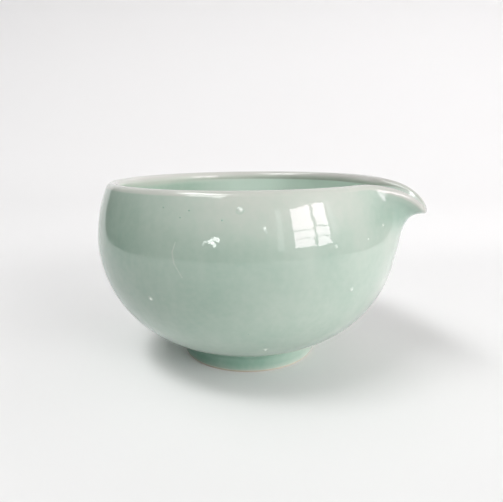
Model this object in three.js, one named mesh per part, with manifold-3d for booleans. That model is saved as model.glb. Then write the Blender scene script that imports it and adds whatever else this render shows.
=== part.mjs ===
// Spouted tea bowl: a thrown stoneware bowl with a drawn-out pouring lip, a turned foot ring
// and a coat of glaze inside, outside and in the hollow of the foot.
// Millimetres, +Z up, spout towards +X, standing on z = 0 with the origin midway between
// the back of the bowl and the tip of the spout.

import * as THREE from 'three';
import { mergeVertices } from 'three/addons/utils/BufferGeometryUtils.js';
import Module from 'manifold-3d';

const wasm = await Module();
wasm.setup();

// Bowl, measured over the glaze
const bellyRadius = 62.5; // widest radius
const bellyHeight = 52; // of the widest ring above the table
const rimHeight = 75.2; // crest of the lip
const rimRadius = 55.4; // axis to the crest of the lip
const wellHeight = 5.6; // underside of the floor above the table
const lipThickness = 4.9;
const bellyThickness = 5.2;
const floorThickness = 6.4;

// Spout
const spoutReach = 17.1; // crest of the rim to the tip
const spoutDrop = 11; // tip below the crest of the rim
const spoutWidth = 25; // along the rim, where the lip is half way out
const spoutDipWidth = 17; // along the rim, where the lip is half way down
const spoutStartHeight = 36; // the wall starts to swell here
const spoutTipThickness = 2;
const throatShare = 0.3; // of the reach that the broad throat takes, and the flare the rest
const throatPower = 1.7; // how late along the wall the throat comes
const flarePower = 4.4; // how late along the wall the flare comes
const dropPower = 4.4; // how late along the wall the dip comes
const reachSidePower = 3.2; // how square the spout's sides are
const dropSidePower = 2.4;

// Round-bottomed notch in the wall that the spout is set into
const notchWidth = 40;
const notchBottom = 42;

// Foot ring, measured over the clay
const footRadius = 29; // at the table
const footTopRadius = 28; // where it meets the bowl
const footWidth = 4.6; // on the table
const footInnerFlare = 0.7; // the inside widens by this towards the table
const footChamfer = 0.4;

// Glaze
const glazeThickness = 0.35;
const bareHeight = 0.9; // clay left bare above the table
const poolRadius = 2.2; // glaze gathered in the corner above the foot
const wellPoolRadius = 1.6; // the same inside the foot

// Clearances
const glazeGap = 0.05; // clay to glaze
const seamGap = 0.3; // clay to clay

// Facets
const spoutSteps = 18; // across the spout
const spoutSpan = 30; // degrees each side of the spout with the finer steps
const roundSteps = 30; // round the rest of the bowl
const lowerSteps = 9;
const upperSteps = 9;
const lipSteps = 6;
const poolSteps = 3;
const seatSteps = 2;
const slope = 1e-4; // step for measuring directions

// Middle of the wall: a flat floor, a lower arc up to the belly, an upper arc up to the lip
const middleBellyRadius = bellyRadius - bellyThickness / 2;
const floorMiddle = wellHeight + floorThickness / 2;
const lowerArc = bellyHeight - floorMiddle;
const lowerCentre = middleBellyRadius - lowerArc;
const lipRise = rimHeight - lipThickness / 2 - bellyHeight;
const lipInset = middleBellyRadius - rimRadius;
const upperArc = (lipRise ** 2 + lipInset ** 2) / (2 * lipInset);
const upperCentre = middleBellyRadius - upperArc;
const upperSweep = Math.asin(lipRise / upperArc);

// Places along the wall: 0 axis, 1 edge of the floor, 2 belly, 3 lip
const AXIS = 0;
const FLOOR = 1;
const BELLY = 2;
const LIP = 3;

const lerp = THREE.MathUtils.lerp;
const clamp = THREE.MathUtils.clamp;
const halfTurn = Math.PI / 2;

function middleOfWall(place) {
  if (place <= FLOOR) return { r: lowerCentre * place, z: floorMiddle };
  const below = place <= BELLY;
  const angle = below ? (place - BELLY) * halfTurn : (place - BELLY) * upperSweep;
  const radius = below ? lowerArc : upperArc;
  const centre = below ? lowerCentre : upperCentre;
  return { r: centre + radius * Math.cos(angle), z: bellyHeight + radius * Math.sin(angle) };
}

function plainHalf(place) {
  if (place <= FLOOR) return floorThickness / 2;
  if (place <= BELLY) return lerp(floorThickness, bellyThickness, place - FLOOR) / 2;
  return lerp(bellyThickness, lipThickness, place - BELLY) / 2;
}

// A smooth swell that is 1 in the middle and one half at a given arc length along the rim
function bell(turn, width, power) {
  const halfAngle = width / 2 / rimRadius;
  return 2 ** -((Math.abs(turn) / halfAngle) ** power);
}

function spoutShare(place) {
  const top = rimHeight - lipThickness / 2;
  return clamp((middleOfWall(place).z - spoutStartHeight) / (top - spoutStartHeight), 0, 1);
}

// Angle round the axis, from the spout, between -180 and 180 degrees
const fromSpout = (turn) => Math.atan2(Math.sin(turn), Math.cos(turn));

function wallCentre(turn, place) {
  const plain = middleOfWall(place);
  const share = spoutShare(place);
  const side = fromSpout(turn);
  const out = (spoutReach - spoutTipThickness / 2) * bell(side, spoutWidth, reachSidePower);
  const down = (spoutDrop - lipThickness / 2) * bell(side, spoutDipWidth, dropSidePower);
  const r = plain.r + out * lerp(share ** flarePower, share ** throatPower, throatShare);
  const z = plain.z - down * share ** dropPower;
  return new THREE.Vector3(r * Math.cos(turn), r * Math.sin(turn), z);
}

function halfThickness(turn, place) {
  const thinning = bell(fromSpout(turn), spoutWidth, reachSidePower) * spoutShare(place);
  return lerp(plainHalf(place), spoutTipThickness / 2, thinning);
}

// Directions at a place on the wall: outward across it, and along it towards the lip
function wallDirections(turn, place) {
  if (place <= FLOOR) {
    const along = new THREE.Vector3(Math.cos(turn), Math.sin(turn), 0);
    return { out: new THREE.Vector3(0, 0, -1), along };
  }
  const round = wallCentre(turn + slope, place).sub(wallCentre(turn - slope, place));
  const step = Math.min(slope, LIP - place);
  const along = wallCentre(turn, place + step).sub(wallCentre(turn, place - slope)).normalize();
  const out = new THREE.Vector3().crossVectors(round, along).normalize();
  return { out, along };
}

// Point on the outer (side 1) or inner (side -1) skin, sunk below the glaze by depth
function skinPoint(turn, place, side, depth) {
  const reach = side * (halfThickness(turn, place) - depth);
  return wallCentre(turn, place).addScaledVector(wallDirections(turn, place).out, reach);
}

// Points round the lip, from angle 0 outside through the crest to 180 degrees inside
function lipPoints(turn, depth, from, to, steps) {
  const centre = wallCentre(turn, LIP);
  const { out, along } = wallDirections(turn, LIP);
  const radius = halfThickness(turn, LIP) - depth;
  return Array.from({ length: steps + 1 }, (_, i) => {
    const angle = lerp(from, to, i / steps);
    const point = centre.clone().addScaledVector(out, radius * Math.cos(angle));
    return point.addScaledVector(along, radius * Math.sin(angle));
  });
}

const steps = (from, to, count) =>
  Array.from({ length: count + 1 }, (_, i) => lerp(from, to, i / count));
const wallPlaces = [AXIS, ...steps(FLOOR, BELLY, lowerSteps), ...steps(BELLY, LIP, upperSteps).slice(1)];
const belowLip = wallPlaces.slice(0, -1);

// Angles round the axis, closer together across the spout
const spoutEdge = THREE.MathUtils.degToRad(spoutSpan);
const turns = [
  ...steps(-spoutEdge, spoutEdge, spoutSteps).slice(0, -1),
  ...steps(spoutEdge, 2 * Math.PI - spoutEdge, roundSteps).slice(0, -1),
];

// Closed surface through one section for each angle. A ring section closes on itself;
// any other starts and ends on the axis. Each face is split along its shorter diagonal.
function turnedBody(sectionAt, ring) {
  const sections = turns.map(sectionAt);
  const rows = sections[0].length;
  const corners = [];
  const quad = (a, b, c, d) => {
    if (a.distanceToSquared(c) < b.distanceToSquared(d)) corners.push(a, b, c, a, c, d);
    else corners.push(a, b, d, b, c, d);
  };
  sections.forEach((here, i) => {
    const next = sections[(i + 1) % sections.length];
    const last = ring ? rows : rows - 1;
    for (let j = 0; j < last; j++) {
      const k = (j + 1) % rows;
      if (!ring && j === 0) corners.push(here[0], next[k], here[k]);
      else if (!ring && j === last - 1) corners.push(here[j], next[j], here[k]);
      else quad(here[j], next[j], next[k], here[k]);
    }
  });
  return new THREE.BufferGeometry().setFromPoints(corners);
}

// Section given as [radius, height] pairs, the same all the way round
const flatSection = (outline) => (turn) =>
  outline.map(([r, z]) => new THREE.Vector3(r * Math.cos(turn), r * Math.sin(turn), z));

const inPlane = (point) => [Math.hypot(point.x, point.y), point.z];

// Place on the lower arc whose outer skin, sunk by depth, lies at a radius
function placeAtRadius(radius, depth) {
  const reach = lowerArc + floorThickness / 2 - depth;
  return BELLY - Math.acos((radius - lowerCentre) / reach) / halfTurn;
}

// Curve that fills the corner between two points, as glaze gathers in it
function cornerFill(from, corner, to, count) {
  const bend = new THREE.QuadraticBezierCurve(
    new THREE.Vector2(...from), new THREE.Vector2(...corner), new THREE.Vector2(...to));
  return bend.getPoints(count).map((point) => [point.x, point.y]);
}

// Solids for joins and cuts
function toSolid(geometry) {
  const merged = mergeVertices(geometry, 1e-5);
  const mesh = new wasm.Mesh({
    numProp: 3,
    vertProperties: new Float32Array(merged.attributes.position.array),
    triVerts: new Uint32Array(merged.index.array),
  });
  return new wasm.Manifold(mesh);
}

function fromSolid(solid) {
  const mesh = solid.getMesh();
  const geometry = new THREE.BufferGeometry();
  geometry.setAttribute('position', new THREE.BufferAttribute(mesh.vertProperties, 3));
  geometry.setIndex(new THREE.BufferAttribute(mesh.triVerts, 1));
  return geometry;
}

// The clay wall with its spout, from the axis under the floor, over the lip, to the axis inside
const clayDepth = glazeThickness + glazeGap;

function claySection(turn) {
  return [
    ...belowLip.map((place) => skinPoint(turn, place, 1, clayDepth)),
    ...lipPoints(turn, clayDepth, 0, Math.PI, lipSteps),
    ...belowLip.toReversed().map((place) => skinPoint(turn, place, -1, clayDepth)),
  ];
}

// Prism along X with the notch's outline, widened or narrowed by margin
function notchPrism(margin) {
  const half = notchWidth / 2 + margin;
  const arcHeight = notchBottom + notchWidth / 2;
  const top = rimHeight + lipThickness;
  const outline = new THREE.Shape();
  outline.moveTo(-half, top);
  outline.lineTo(-half, arcHeight);
  outline.absarc(0, arcHeight, half, Math.PI, 2 * Math.PI, false);
  outline.lineTo(half, top);
  const length = rimRadius + 2 * spoutReach;
  const prism = new THREE.ExtrudeGeometry(outline, { depth: length, bevelEnabled: false, curveSegments: 16 });
  const across = new THREE.Vector3(0, 1, 0);
  const up = new THREE.Vector3(0, 0, 1);
  const forward = new THREE.Vector3(1, 0, 0);
  prism.applyMatrix4(new THREE.Matrix4().makeBasis(across, up, forward));
  prism.deleteAttribute('normal');
  prism.deleteAttribute('uv');
  return toSolid(prism);
}

const clayWall = toSolid(turnedBody(claySection, false));
const thrownBowl = fromSolid(clayWall.subtract(notchPrism(seamGap / 2)));
const spout = fromSolid(clayWall.intersect(notchPrism(-seamGap / 2)));

// Foot ring under the bowl: its top follows the underside of the clay
const footTopDepth = clayDepth - seamGap;
const footInnerTop = footRadius - footWidth - footInnerFlare;
const footInnerRadius = footRadius - footWidth;

function footOutline() {
  const outerPlace = placeAtRadius(footTopRadius, footTopDepth);
  const innerPlace = placeAtRadius(footInnerTop, footTopDepth);
  const seat = steps(outerPlace, innerPlace, seatSteps);
  return [
    [footInnerRadius + footChamfer, 0],
    [footRadius - footChamfer, 0],
    [footRadius, footChamfer],
    ...seat.map((place) => inPlane(skinPoint(Math.PI, place, 1, footTopDepth))),
    [footInnerRadius, footChamfer],
  ];
}
const footRing = turnedBody(flatSection(footOutline()), true);

// Radius of the foot's outer and inner side at a height
const footTopHeight = inPlane(skinPoint(Math.PI, placeAtRadius(footTopRadius, footTopDepth), 1, footTopDepth))[1];
const footOuterAt = (z) => lerp(footRadius, footTopRadius, (z - footChamfer) / (footTopHeight - footChamfer));
const footInnerAt = (z) => lerp(footInnerRadius, footInnerTop, (z - footChamfer) / (footTopHeight - footChamfer));

// Outer glaze: from the bare band on the foot, up the bowl and over to the crest of the lip
const crestGap = glazeGap / lipThickness;

function outerGlazeSection(turn) {
  const cornerPlace = placeAtRadius(footTopRadius + glazeGap, glazeThickness);
  const poolPlace = placeAtRadius(footTopRadius + glazeThickness + poolRadius, 0);
  const corner = inPlane(skinPoint(turn, cornerPlace, 1, glazeThickness));
  const poolTop = inPlane(skinPoint(turn, poolPlace, 1, 0));
  const skinCorner = [footTopRadius + clayDepth, corner[1] - glazeThickness];
  const poolFoot = skinCorner[1] - poolRadius;
  const pool = cornerFill([footOuterAt(poolFoot) + clayDepth, poolFoot], skinCorner, poolTop, poolSteps);
  const foot = [[footOuterAt(bareHeight) + clayDepth, bareHeight], ...pool];
  const back = [corner, [footOuterAt(bareHeight) + glazeGap, bareHeight]];
  const above = (from) => belowLip.filter((place) => place > from + slope);
  return [
    ...flatSection(foot)(turn),
    ...above(poolPlace).map((place) => skinPoint(turn, place, 1, 0)),
    ...lipPoints(turn, 0, 0, halfTurn - crestGap, lipSteps / 2),
    ...lipPoints(turn, glazeThickness, halfTurn - crestGap, 0, lipSteps / 2),
    ...above(cornerPlace).toReversed().map((place) => skinPoint(turn, place, 1, glazeThickness)),
    ...flatSection(back)(turn),
  ];
}
const outerGlaze = turnedBody(outerGlazeSection, true);

// Inner glaze: from the middle of the floor up to the crest of the lip
function innerGlazeSection(turn) {
  return [
    ...belowLip.map((place) => skinPoint(turn, place, -1, glazeThickness)),
    ...lipPoints(turn, glazeThickness, Math.PI, halfTurn + crestGap, lipSteps / 2),
    ...lipPoints(turn, 0, halfTurn + crestGap, Math.PI, lipSteps / 2),
    ...belowLip.toReversed().map((place) => skinPoint(turn, place, -1, 0)),
  ];
}
const innerGlaze = turnedBody(innerGlazeSection, false);

// Glaze in the hollow of the foot: the underside of the floor and the inside of the ring
function wellGlazeOutline() {
  const cornerPlace = placeAtRadius(footInnerTop - glazeGap, glazeThickness);
  const cornerRow = wallPlaces.filter((place) => place < cornerPlace - slope);
  const corner = inPlane(skinPoint(Math.PI, cornerPlace, 1, glazeThickness));
  const skinCorner = [corner[0] - glazeThickness, corner[1] - glazeThickness];
  const poolFoot = skinCorner[1] - wellPoolRadius;
  const poolStart = [footInnerAt(poolFoot) - clayDepth, poolFoot];
  const poolTop = [skinCorner[0] - wellPoolRadius, wellHeight];
  return [
    [0, wellHeight],
    [lowerCentre, wellHeight],
    ...cornerFill(poolTop, skinCorner, poolStart, poolSteps),
    [footInnerAt(bareHeight) - clayDepth, bareHeight],
    [footInnerAt(bareHeight) - glazeGap, bareHeight],
    corner,
    ...cornerRow.toReversed().map((place) => inPlane(skinPoint(Math.PI, place, 1, glazeThickness))),
  ];
}
const wellGlaze = turnedBody(flatSection(wellGlazeOutline()), false);

// Materials
const clay = { color: 0xc2b89a, roughness: 0.85, metalness: 0 };
const celadon = { color: 0xb4d1c3, roughness: 0.12, metalness: 0 };

function piece(name, geometry, look) {
  geometry.computeVertexNormals();
  const mesh = new THREE.Mesh(geometry, new THREE.MeshStandardMaterial(look));
  mesh.name = name;
  return mesh;
}

const bowl = new THREE.Group();
bowl.name = 'spouted_bowl';
bowl.position.x = (bellyRadius - rimRadius - spoutReach) / 2;
bowl.add(
  piece('thrown_bowl', thrownBowl, clay),
  piece('spout', spout, clay),
  piece('foot_ring', footRing, clay),
  piece('outer_glaze', outerGlaze, celadon),
  piece('inner_glaze', innerGlaze, celadon),
  piece('foot_well_glaze', wellGlaze, celadon),
);

export default bowl;
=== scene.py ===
"""Spouted tea bowl: a celadon glaze and a bare foot round the packed clay parts, in a plain studio.

All lengths are in metres, +Z up and the spout towards +X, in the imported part's own frame.
"""

import logging
import math
from dataclasses import dataclass, field
from enum import Enum

import bpy
import numpy as np
from mathutils import Matrix, Vector


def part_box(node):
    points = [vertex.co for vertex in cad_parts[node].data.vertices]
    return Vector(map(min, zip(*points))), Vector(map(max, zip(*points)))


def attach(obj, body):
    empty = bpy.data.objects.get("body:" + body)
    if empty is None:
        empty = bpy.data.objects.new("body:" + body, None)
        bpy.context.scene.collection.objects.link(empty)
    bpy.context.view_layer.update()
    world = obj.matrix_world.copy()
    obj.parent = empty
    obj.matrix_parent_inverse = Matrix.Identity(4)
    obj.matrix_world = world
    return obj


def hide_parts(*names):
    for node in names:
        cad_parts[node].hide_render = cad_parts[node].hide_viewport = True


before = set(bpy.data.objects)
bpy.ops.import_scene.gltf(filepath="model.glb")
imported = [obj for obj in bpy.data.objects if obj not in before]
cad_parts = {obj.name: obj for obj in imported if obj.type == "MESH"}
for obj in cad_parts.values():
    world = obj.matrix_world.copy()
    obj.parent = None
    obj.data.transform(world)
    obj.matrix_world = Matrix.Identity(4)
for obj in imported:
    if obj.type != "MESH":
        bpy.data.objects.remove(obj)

Array = np.ndarray
Socket = bpy.types.NodeSocket
Pair = tuple[float, float]
Colour = tuple[float, float, float, float]

LOG = logging.getLogger("spouted_bowl")
MM = 0.001
BODY = "root"
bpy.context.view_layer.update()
CAMERA_TURN = math.radians(21)
WATTS_PER_STRENGTH = 4.0
CLOUD_DETAIL = 2.0
GRAIN_DETAIL = 1.2


class Side(Enum):
    """The two faces of the bowl's wall."""

    OUTER = 1
    INNER = -1


class Place:
    """Places along the wall, from the axis to the lip."""

    AXIS = 0.0
    FLOOR = 1.0
    BELLY = 2.0
    LIP = 3.0


def lerp(start: Array | float, end: Array | float, share: Array | float) -> Array:
    """Goes in a straight line from start to end as share goes from 0 to 1."""
    return start + (end - start) * share


def smooth(low: float, high: float, value: Array | float) -> Array:
    """Rises smoothly from 0 at low to 1 at high."""
    share = np.clip((value - low) / (high - low), 0, 1)
    return share * share * (3 - 2 * share)


def unit(vectors: Array) -> Array:
    """Scales each vector to length 1."""
    return vectors / np.linalg.norm(vectors, axis=-1, keepdims=True)


def from_spout(turns: Array) -> Array:
    """Angles from the spout, measured round whichever side is shorter."""
    return np.abs(np.arctan2(np.sin(turns), np.cos(turns)))


def camera_frame(axis_x: float) -> Matrix:
    """Place of the bowl's axis, turned so that the camera stands on its -Y side."""
    return Matrix.Translation(Vector((axis_x, 0, 0))) @ Matrix.Rotation(CAMERA_TURN, 4, "Z")


@dataclass(frozen=True)
class BowlForm:
    """The wall's middle surface and thickness, with the spout drawn out of it.

    The powers say how late a swell comes along the wall, or how square its sides are round the wall.
    Slope is the step for measuring directions.
    """

    axis_x: float
    belly_radius: float
    rim_height: float
    tip_x: float
    belly_height: float = 52 * MM
    rim_radius: float = 55.4 * MM
    well_height: float = 5.6 * MM
    lip_thickness: float = 4.9 * MM
    belly_thickness: float = 5.2 * MM
    floor_thickness: float = 6.4 * MM
    spout_drop: float = 11 * MM
    spout_width: float = 25 * MM
    spout_dip_width: float = 17 * MM
    spout_start_height: float = 36 * MM
    spout_tip_thickness: float = 2 * MM
    throat_share: float = 0.3
    throat_power: float = 1.7
    flare_power: float = 4.4
    drop_power: float = 4.4
    reach_side_power: float = 3.2
    drop_side_power: float = 2.4
    slope: float = 1e-4

    @property
    def spout_reach(self) -> float:
        """How far the tip lies beyond the crest of the rim."""
        return self.tip_x - self.axis_x - self.rim_radius

    @property
    def middle_belly(self) -> float:
        """Radius of the middle of the wall at the belly."""
        return self.belly_radius - self.belly_thickness / 2

    @property
    def lower_arc(self) -> float:
        """Radius of the arc from the floor's edge up to the belly."""
        return self.belly_height - self.well_height - self.floor_thickness / 2

    @property
    def lower_centre(self) -> float:
        """Distance of the lower arc's centre from the axis."""
        return self.middle_belly - self.lower_arc

    @property
    def lip_rise(self) -> float:
        """Height of the lip's middle above the belly."""
        return self.rim_height - self.lip_thickness / 2 - self.belly_height

    @property
    def upper_arc(self) -> float:
        """Radius of the arc from the belly up to the lip."""
        inset = self.middle_belly - self.rim_radius
        return (self.lip_rise**2 + inset**2) / (2 * inset)

    def middle(self, place: Array) -> tuple[Array, Array]:
        """Gives the plain wall's middle, without the spout.

        Args:
            place: Places along the wall.

        Returns:
            Radii and heights.
        """
        low_angle = (np.clip(place, Place.FLOOR, Place.BELLY) - Place.BELLY) * math.pi / 2
        high_sweep = math.asin(self.lip_rise / self.upper_arc)
        high_angle = (np.clip(place, Place.BELLY, Place.LIP) - Place.BELLY) * high_sweep
        low = place <= Place.BELLY
        angle = np.where(low, low_angle, high_angle)
        arc = np.where(low, self.lower_arc, self.upper_arc)
        radius = self.middle_belly - arc + arc * np.cos(angle)
        radius = np.where(place < Place.FLOOR, self.lower_centre * place, radius)
        return radius, self.belly_height + arc * np.sin(angle)

    def plain_half(self, place: Array) -> Array:
        """Half of the plain wall's thickness at places along it."""
        low = lerp(self.floor_thickness, self.belly_thickness, place - Place.FLOOR)
        high = lerp(self.belly_thickness, self.lip_thickness, place - Place.BELLY)
        half = np.where(place <= Place.BELLY, low, high) / 2
        return np.where(place <= Place.FLOOR, self.floor_thickness / 2, half)

    def bell(self, turn: Array, width: float, power: float) -> Array:
        """A swell that is 1 in front of the spout and one half at half its width.

        Args:
            turn: Angles round the axis from the spout.
            width: Width along the rim where the swell is one half.
            power: How square the swell's sides are.

        Returns:
            Shares from 0 to 1.
        """
        return 2.0 ** -((from_spout(turn) / (width / 2 / self.rim_radius)) ** power)

    def spout_share(self, place: Array) -> Array:
        """Share of the spout's swell reached at places along the wall."""
        top = self.rim_height - self.lip_thickness / 2
        height = self.middle(place)[1]
        return np.clip((height - self.spout_start_height) / (top - self.spout_start_height), 0, 1)

    def centre(self, turn: Array, place: Array) -> Array:
        """Points on the middle of the wall, spout included, relative to the axis.

        Args:
            turn: Angles round the axis.
            place: Places along the wall.

        Returns:
            Points with shape (angles, places, 3).
        """
        radius, height = self.middle(place)
        share = self.spout_share(place)
        reach = self.spout_reach - self.spout_tip_thickness / 2
        drop = self.spout_drop - self.lip_thickness / 2
        out = reach * self.bell(turn, self.spout_width, self.reach_side_power)
        down = drop * self.bell(turn, self.spout_dip_width, self.drop_side_power)
        swell = lerp(share**self.flare_power, share**self.throat_power, self.throat_share)
        radius = radius + out * swell
        height = height - down * share**self.drop_power
        return np.stack(
            np.broadcast_arrays(radius * np.cos(turn), radius * np.sin(turn), height), axis=-1
        )

    def half(self, turn: Array, place: Array) -> Array:
        """Half of the wall's thickness, thinned towards the spout's tip."""
        thinning = self.bell(turn, self.spout_width, self.reach_side_power) * self.spout_share(place)
        return lerp(self.plain_half(place), self.spout_tip_thickness / 2, thinning)

    def directions(self, turn: Array, place: Array) -> tuple[Array, Array]:
        """Measures the wall's directions.

        Args:
            turn: Angles round the axis.
            place: Places along the wall.

        Returns:
            Unit vectors outward across the wall, and along it towards the lip.
        """
        after = np.minimum(place + self.slope, Place.LIP)
        round_wall = self.centre(turn + self.slope, place) - self.centre(turn - self.slope, place)
        along = unit(self.centre(turn, after) - self.centre(turn, place - self.slope))
        flat = np.broadcast_to(place <= Place.FLOOR, along.shape[:-1])[..., None]
        level = np.stack(np.broadcast_arrays(np.cos(turn), np.sin(turn), 0 * place), axis=-1)
        along = np.where(flat, level, along)
        safe_round = np.where(flat, (0.0, 1.0, 0.0), round_wall)
        out = np.cross(safe_round, np.where(flat, (1.0, 0.0, 0.0), along))
        return unit(out), along


@dataclass(frozen=True)
class FootForm:
    """The foot ring, measured over the clay."""

    radius: float
    top_radius: float = 28 * MM
    width: float = 4.6 * MM
    inner_flare: float = 0.7 * MM
    chamfer: float = 0.8 * MM
    top_height: float = 6.9 * MM
    seam: float = 0.3 * MM

    @property
    def inner_radius(self) -> float:
        """Radius of the inside at the table."""
        return self.radius - self.width

    def outer_at(self, height: Array) -> Array:
        """Radius of the outside at heights above the table."""
        return lerp(self.radius, self.top_radius, height / self.top_height)

    def inner_at(self, height: Array) -> Array:
        """Radius of the inside at heights above the table."""
        top = self.inner_radius - self.inner_flare
        return lerp(self.inner_radius, top, height / self.top_height)


@dataclass(frozen=True)
class GlazeForm:
    """Thickness and edges of the coats of glaze, and how far up the foot they stay bare or thin."""

    thickness: float = 0.35 * MM
    gap: float = 0.05 * MM
    bare_height: float = 0.75 * MM
    full_height: float = 3 * MM
    edge: float = 0.12 * MM
    pool: float = 2.2 * MM
    well_pool: float = 1.6 * MM


@dataclass(frozen=True)
class Ripple:
    """Slow unevenness of a hand-made wall, as a sum of seeded waves.

    The whole wall lies nearer to the axis than a true one, by the sink and up to the height more.
    """

    height: float = 0.05 * MM
    sink: float = 0.08 * MM
    count: int = 7
    lobes: tuple[int, int] = (2, 9)
    rows: Pair = (1.5, 7.0)
    lip_fade: float = 0.3
    seed: int = 11

    def at(self, turn: Array, place: Array) -> Array:
        """Measures how far outward the wall lies from a true one.

        Args:
            turn: Angles round the axis.
            place: Places along the wall.

        Returns:
            Distances, 0 at the axis and the lip and below 0 elsewhere.
        """
        rng = np.random.default_rng(self.seed)
        total = np.zeros(np.broadcast_shapes(turn.shape, place.shape))
        for _ in range(self.count):
            lobes = int(rng.integers(*self.lobes))
            rows = rng.uniform(*self.rows)
            phase = rng.uniform(0, 2 * math.pi, 2)
            wave = np.sin(lobes * turn + phase[0]) * np.sin(rows * place + phase[1])
            total = total + wave / self.count
        fade = smooth(Place.LIP, Place.LIP - self.lip_fade, place) * smooth(Place.AXIS, Place.FLOOR, place)
        return (self.height * (total - 1) / 2 - self.sink) * fade


def turned_mesh(name: str, sections: Array, ring: bool) -> bpy.types.Mesh:
    """Makes a closed mesh through sections at successive angles round the axis.

    Args:
        name: Name of the mesh.
        sections: Points with shape (angles, rows, 3).
        ring: Whether each section closes on itself; if not, it starts and ends on the axis.

    Returns:
        The mesh, with smooth faces that point outwards.
    """
    inner = sections if ring else sections[:, 1:-1]
    turns, rows = inner.shape[:2]
    points, index = inner.reshape(-1, 3), np.arange(turns * rows).reshape(turns, rows)
    here, low = np.arange(turns)[:, None], np.arange(rows if ring else rows - 1)[None]
    after, high = (here + 1) % turns, (low + 1) % rows
    corners = [index[here, low], index[after, low], index[after, high], index[here, high]]
    faces = np.stack(corners, -1).reshape(-1, 4).tolist()
    if not ring:
        points = np.concatenate([points, sections[:1, 0], sections[:1, -1]])
        start, end = np.full_like(here, turns * rows), np.full_like(here, turns * rows + 1)
        faces += np.hstack([start, index[after, 0], index[here, 0]]).tolist()
        faces += np.hstack([end, index[here, -1], index[after, -1]]).tolist()
    mesh = bpy.data.meshes.new(name)
    mesh.from_pydata(points.tolist(), [], faces)
    mesh.shade_smooth()
    mesh.update()
    return mesh


def corner_curve(start: Array, corner: Array, end: Array, count: int) -> Array:
    """Points on a curve that leaves start towards corner and arrives at end from it."""
    share = np.linspace(0, 1, count)[:, None]
    return (1 - share) ** 2 * start + 2 * share * (1 - share) * corner + share**2 * end


def mark_points(mesh: bpy.types.Mesh, name: str, values: Array) -> None:
    """Stores a value for every angle and row on the points of a mesh that starts and ends on the axis."""
    flat = np.concatenate([values[:, 1:-1].ravel(), values[0, [0, -1]]])
    mesh.attributes.new(name, "FLOAT", "POINT").data.foreach_set("value", flat)


def new_object(name: str, data: bpy.types.ID) -> bpy.types.Object:
    """Makes an object and puts it in the scene.

    Args:
        name: Name of the object.
        data: Its mesh, lamp or camera.

    Returns:
        The object.
    """
    made = bpy.data.objects.new(name, data)
    bpy.context.scene.collection.objects.link(made)
    return made


def add_piece(name: str, mesh: bpy.types.Mesh, nodes: tuple[str, ...]) -> bpy.types.Object:
    """Puts a finished mesh on the bowl's body.

    Args:
        name: Name of the piece.
        mesh: Its mesh, in the part's frame.
        nodes: CAD nodes that it stands for.

    Returns:
        The piece's object.
    """
    piece = new_object(name, mesh)
    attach(piece, BODY)
    if nodes:
        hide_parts(*nodes)
    LOG.info("%s: %d faces", name, len(mesh.polygons))
    return piece


@dataclass
class Wiring:
    """Adds nodes to a node tree and joins them."""

    tree: bpy.types.NodeTree

    def add(self, kind: str, inputs: dict | None = None, **settings: object) -> bpy.types.Node:
        """Adds one node.

        Args:
            kind: Type name of the node.
            inputs: Sockets to join to, or plain values, by input name or number.
            settings: The node's own properties.

        Returns:
            The node.
        """
        node = self.tree.nodes.new(kind)
        for name, value in settings.items():
            setattr(node, name, value)
        self.fill(node, inputs or {})
        return node

    def fill(self, node: bpy.types.Node, inputs: dict) -> None:
        """Gives a node its inputs, by name or number.

        Args:
            node: The node.
            inputs: Sockets to join to, or plain values.
        """
        for name, value in inputs.items():
            if isinstance(value, Socket):
                self.tree.links.new(value, node.inputs[name])
            else:
                node.inputs[name].default_value = value

    def math(self, operation: str, *values: object) -> Socket:
        """Adds a sum on numbers and gives its result."""
        return self.add("ShaderNodeMath", dict(enumerate(values)), operation=operation).outputs[0]

    def span(self, value: object, low: float, high: float, start: float, end: float) -> Socket:
        """Maps a value from low..high to start..end with smooth ends."""
        inputs = {"Value": value, "From Min": low, "From Max": high, "To Min": start, "To Max": end}
        return self.add("ShaderNodeMapRange", inputs, interpolation_type="SMOOTHSTEP").outputs["Result"]

    def blend(self, share: object, first: object, second: object) -> Socket:
        """Mixes two colours: a share of 0 gives the first and 1 the second."""
        node = self.add("ShaderNodeMix", {0: share, 6: first, 7: second}, data_type="RGBA")
        return node.outputs[2]

    def noise(self, place: object, scale: object, detail: float) -> Socket:
        """Adds noise and gives its values, from 0 to 1."""
        inputs = {"Vector": place, "Scale": scale, "Detail": detail}
        return self.add("ShaderNodeTexNoise", inputs).outputs[0]

    def bump(self, height: object, distance: float) -> Socket:
        """Adds relief in which a height of 1 stands a distance out, and gives its normals."""
        inputs = {"Height": height, "Distance": distance, "Strength": 1.0}
        return self.add("ShaderNodeBump", inputs).outputs["Normal"]

    def either_way(self, value: object, amount: float) -> Socket:
        """Scales a value from 0..1 to a change of up to half the amount either way."""
        return self.math("MULTIPLY_ADD", value, amount, -amount / 2)

    def object_place(self) -> Socket:
        """Gives the place on the object."""
        return self.add("ShaderNodeTexCoord").outputs["Object"]

    def read(self, name: str, kind: str = "FLOAT") -> Socket:
        """Reads a named attribute in a tree of geometry."""
        node = self.add("GeometryNodeInputNamedAttribute", {"Name": name}, data_type=kind)
        return node.outputs["Attribute"]

    def store(self, geometry: object, name: str, value: object) -> Socket:
        """Stores a named value on each point in a tree of geometry."""
        inputs = {"Geometry": geometry, "Name": name, "Value": value}
        return self.add("GeometryNodeStoreNamedAttribute", inputs, data_type="FLOAT").outputs[0]


def new_material(name: str) -> tuple[bpy.types.Material, Wiring, bpy.types.Node]:
    """Makes a plain material.

    Args:
        name: Name of the material.

    Returns:
        The material, its wiring and its shader.
    """
    material = bpy.data.materials.new(name)
    material.use_nodes = True
    return material, Wiring(material.node_tree), material.node_tree.nodes["Principled BSDF"]


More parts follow.
